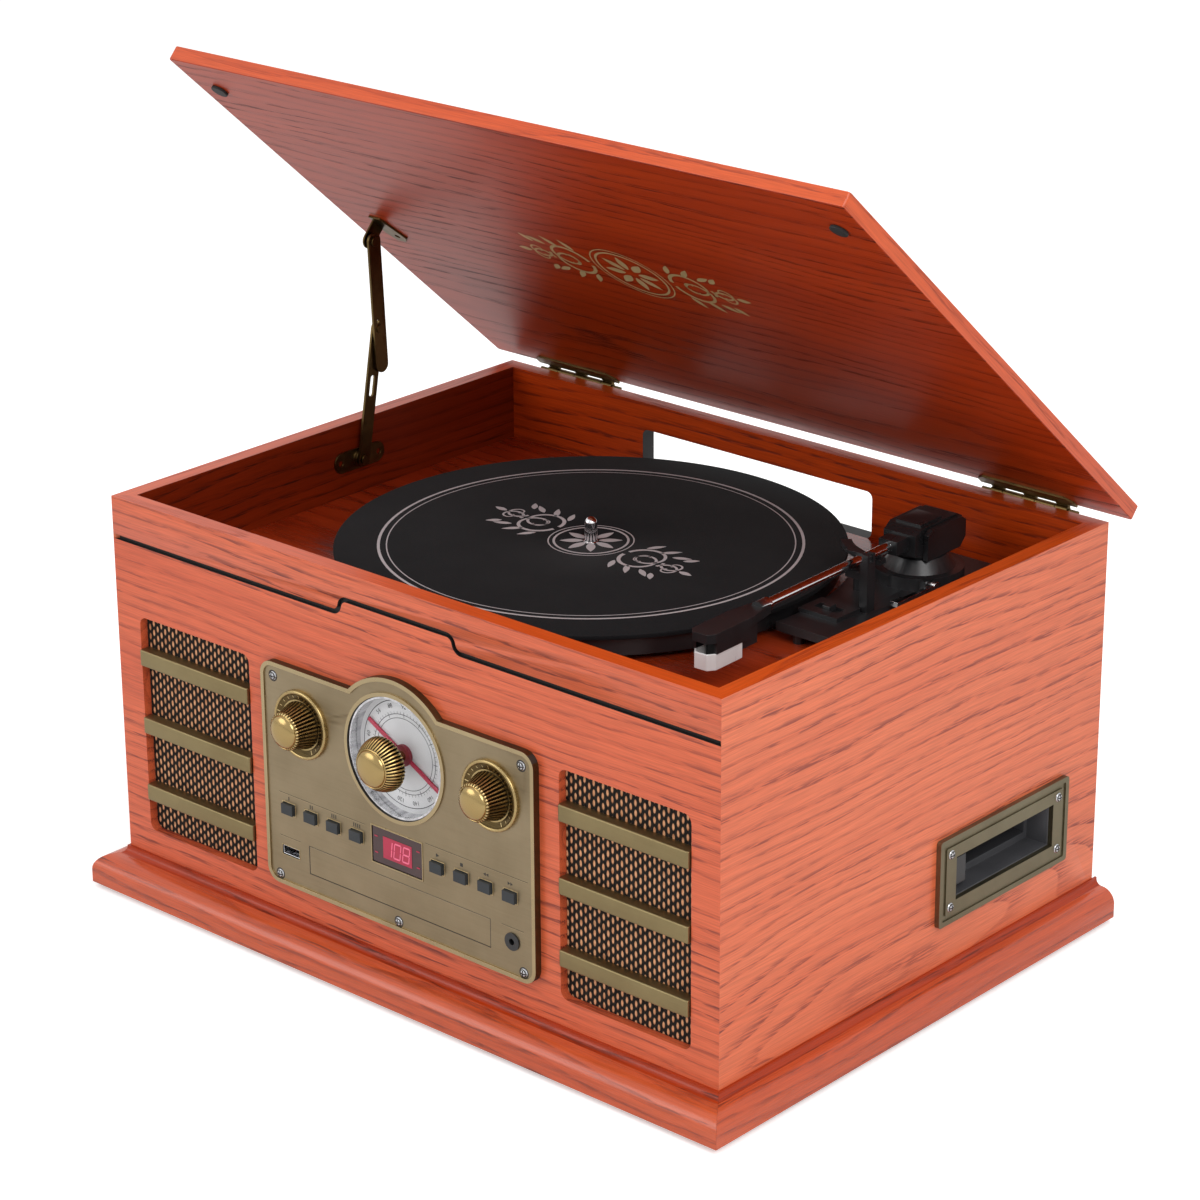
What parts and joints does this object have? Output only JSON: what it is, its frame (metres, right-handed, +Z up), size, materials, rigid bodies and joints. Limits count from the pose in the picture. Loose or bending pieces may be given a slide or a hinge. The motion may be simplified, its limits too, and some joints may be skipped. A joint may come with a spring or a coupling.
{
  "type": "stereo music centre",
  "caption": "Wooden tabletop music centre with a turntable under a hinged lid, a brass-finished radio and disc panel between two grilles, and a cassette slot in its side.",
  "frame": {"origin": "on the surface that it stands on, under the middle of the cabinet walls", "axes": "+X to the right seen from the front, -Y out of the front, +Z up"},
  "size_m": [0.4676, 0.367, 0.4739],
  "materials": {
    "stained_oak": "satin reddish mahogany stain over open oak grain",
    "dark_stained_wood": "dark red-brown stain",
    "bare_board": "plain board",
    "foot_rubber": "matt",
    "antique_brass_hardware": "dark antique brass",
    "fascia_metal": "satin antique brass, brushed",
    "screw_steel": "bright",
    "dial_silver": "silver-white, fine print",
    "clear_lens": "clear",
    "gold_plate": "polished gold",
    "pointer_red": "gloss crimson",
    "display_plastic": "dark red window",
    "socket_metal": "plated",
    "black_plastic": "fine matt",
    "board_green": "printed circuit board with parts",
    "grey_plastic": "matt",
    "grille_cloth": "black weave with copper spots",
    "driver_black": "black basket and cone",
    "motor_steel": "plated",
    "spindle_chrome": "bright",
    "belt_rubber": "matt",
    "button_slate": "satin slate",
    "platter_black": "glossy black rim",
    "mat_felt": "black felt with pale print",
    "pulley_brass": "turned",
    "arm_tube_chrome": "bright tube, black head",
    "guard_plastic": "translucent pinkish white"
  },
  "bodies": {
    "cabinet": {"plinth_moulding": "stained_oak", "base_board": "bare_board", "rubber_feet": "foot_rubber", "front_panel": "stained_oak", "left_panel": "stained_oak", "right_panel": "stained_oak", "rear_panel": "dark_stained_wood", "deck_board": "dark_stained_wood", "cabinet_hinge_leaves": "antique_brass_hardware", "stay_wall_bracket": "antique_brass_hardware", "fascia_plate": "fascia_metal", "panel_screws": "screw_steel", "dial_face": "dial_silver", "dial_lens": "clear_lens", "knob_collars": "gold_plate", "display_window": "display_plastic", "usb_socket": "socket_metal", "headphone_jack": "black_plastic", "circuit_boards": "board_green", "cd_mechanism": "grey_plastic", "speaker_grilles": "grille_cloth", "grille_bars": "fascia_metal", "speaker_drivers": "driver_black", "cassette_bezel": "fascia_metal", "cassette_mechanism": "grey_plastic", "turntable_motor": "motor_steel", "spindle_bearing": "spindle_chrome", "tonearm_base": "black_plastic", "rear_sockets": "socket_metal", "drive_belt": "belt_rubber"},
    "lid": {"lid_panel": "stained_oak", "lid_bumpers": "foot_rubber", "lid_hinge_leaves": "antique_brass_hardware", "stay_lid_bracket": "antique_brass_hardware"},
    "stay_upper": {"stay_upper_arm": "antique_brass_hardware"},
    "stay_lower": {"stay_lower_arm": "antique_brass_hardware"},
    "tuning": {"tuning_knob": "gold_plate", "dial_pointer": "pointer_red"},
    "function_selector": {"function_knob": "gold_plate"},
    "volume": {"volume_knob": "gold_plate"},
    "push_button_1": {"button_1": "button_slate"},
    "push_button_2": {"button_2": "button_slate"},
    "push_button_3": {"button_3": "button_slate"},
    "push_button_4": {"button_4": "button_slate"},
    "push_button_5": {"button_5": "button_slate"},
    "push_button_6": {"button_6": "button_slate"},
    "push_button_7": {"button_7": "button_slate"},
    "push_button_8": {"button_8": "button_slate"},
    "drawer": {"cd_drawer": "fascia_metal"},
    "eject_key": {"cassette_eject_key": "black_plastic"},
    "turntable": {"platter": "platter_black", "slip_mat": "mat_felt"},
    "pulley": {"motor_pulley": "pulley_brass"},
    "yoke": {"tonearm_yoke": "black_plastic"},
    "pickup_arm": {"tonearm": "arm_tube_chrome", "stylus_guard": "guard_plastic"},
    "clip": {"arm_clip": "black_plastic"},
    "cueing_lever": {"cue_lever": "arm_tube_chrome"},
    "lift": {"lift_platform": "grey_plastic"},
    "selector_slide": {"speed_switch": "black_plastic"}
  },
  "joints": [
    {"name": "lid_hinge", "type": "hinge", "parent": "cabinet", "child": "lid", "pos_m": [0, 0.1655, 0.2355], "axis": [1, 0, 0], "range_deg": [0, 41.4]},
    {"name": "stay_lower_pivot", "type": "hinge", "parent": "cabinet", "child": "stay_lower", "pos_m": [-0.2056, 0.019, 0.2135], "axis": [1, 0, 0], "range_deg": [0, 99.2]},
    {"name": "stay_upper_pivot", "type": "hinge", "parent": "lid", "child": "stay_upper", "pos_m": [-0.2038, 0.03026, 0.3434], "axis": [1, 0, 0], "range_deg": [-121.6, 0]},
    {"name": "tuning_turn", "type": "hinge", "parent": "cabinet", "child": "tuning", "pos_m": [0, -0.16, 0.1425], "axis": [0, -1, 0], "range_deg": [-140, 140]},
    {"name": "function_turn", "type": "hinge", "parent": "cabinet", "child": "function_selector", "pos_m": [-0.0696, -0.16, 0.1425], "axis": [0, 1, 0], "range_deg": [0, 120]},
    {"name": "volume_turn", "type": "hinge", "parent": "cabinet", "child": "volume", "pos_m": [0.0696, -0.16, 0.1425], "axis": [0, 1, 0], "range_deg": [0, 280]},
    {"name": "button_1_press", "type": "slide", "parent": "cabinet", "child": "push_button_1", "axis": [0, 1, 0], "range_m": [0, 0.0012], "stiffness_N_per_m": 250},
    {"name": "button_2_press", "type": "slide", "parent": "cabinet", "child": "push_button_2", "axis": [0, 1, 0], "range_m": [0, 0.0012], "stiffness_N_per_m": 250},
    {"name": "button_3_press", "type": "slide", "parent": "cabinet", "child": "push_button_3", "axis": [0, 1, 0], "range_m": [0, 0.0012], "stiffness_N_per_m": 250},
    {"name": "button_4_press", "type": "slide", "parent": "cabinet", "child": "push_button_4", "axis": [0, 1, 0], "range_m": [0, 0.0012], "stiffness_N_per_m": 250},
    {"name": "button_5_press", "type": "slide", "parent": "cabinet", "child": "push_button_5", "axis": [0, 1, 0], "range_m": [0, 0.0012], "stiffness_N_per_m": 250},
    {"name": "button_6_press", "type": "slide", "parent": "cabinet", "child": "push_button_6", "axis": [0, 1, 0], "range_m": [0, 0.0012], "stiffness_N_per_m": 250},
    {"name": "button_7_press", "type": "slide", "parent": "cabinet", "child": "push_button_7", "axis": [0, 1, 0], "range_m": [0, 0.0012], "stiffness_N_per_m": 250},
    {"name": "button_8_press", "type": "slide", "parent": "cabinet", "child": "push_button_8", "axis": [0, 1, 0], "range_m": [0, 0.0012], "stiffness_N_per_m": 250},
    {"name": "drawer_slide", "type": "slide", "parent": "cabinet", "child": "drawer", "axis": [0, -1, 0], "range_m": [0, 0.12]},
    {"name": "eject_press", "type": "slide", "parent": "cabinet", "child": "eject_key", "axis": [-1, 0, 0], "range_m": [0, 0.0055], "stiffness_N_per_m": 200},
    {"name": "platter_spin", "type": "hinge", "parent": "cabinet", "child": "turntable", "pos_m": [-0.0225, 0.0142, 0.2], "axis": [0, 0, -1], "continuous": true},
    {"name": "pulley_spin", "type": "hinge", "parent": "cabinet", "child": "pulley", "pos_m": [-0.1175, 0.0142, 0.2], "axis": [0, 0, -1], "continuous": true},
    {"name": "arm_swing", "type": "hinge", "parent": "cabinet", "child": "yoke", "pos_m": [0.1385, 0.102, 0.217], "axis": [0, 0, -1], "range_deg": [0, 46]},
    {"name": "arm_lift", "type": "hinge", "parent": "yoke", "child": "pickup_arm", "pos_m": [0.1385, 0.102, 0.228], "axis": [-0.9992, -0.0393, 0], "range_deg": [0, 2]},
    {"name": "clip_open", "type": "hinge", "parent": "cabinet", "child": "clip", "pos_m": [0.15039, 0.04142, 0.2337], "axis": [-0.0393, 0.9992, 0], "range_deg": [0, 170]},
    {"name": "cue_raise", "type": "hinge", "parent": "cabinet", "child": "cueing_lever", "pos_m": [0.16, 0.086, 0.207], "axis": [-1, 0, 0], "range_deg": [0, 45]},
    {"name": "lift_rise", "type": "slide", "parent": "cabinet", "child": "lift", "axis": [0, 0, 1], "range_m": [0, 0.0013]},
    {"name": "speed_slide", "type": "slide", "parent": "cabinet", "child": "selector_slide", "axis": [1, 0, 0], "range_m": [-0.004, 0.004]}
  ],
  "couplings": [
    {"joint": "stay_lower_pivot", "follows": "lid_hinge", "ratio": 2.3899},
    {"joint": "stay_upper_pivot", "follows": "lid_hinge", "ratio": -2.9323},
    {"joint": "pulley_spin", "follows": "platter_spin", "ratio": 12.165},
    {"joint": "arm_lift", "follows": "cue_raise", "ratio": 0.0444},
    {"joint": "lift_rise", "follows": "cue_raise", "m_per_rad": 0.00165}
  ]
}
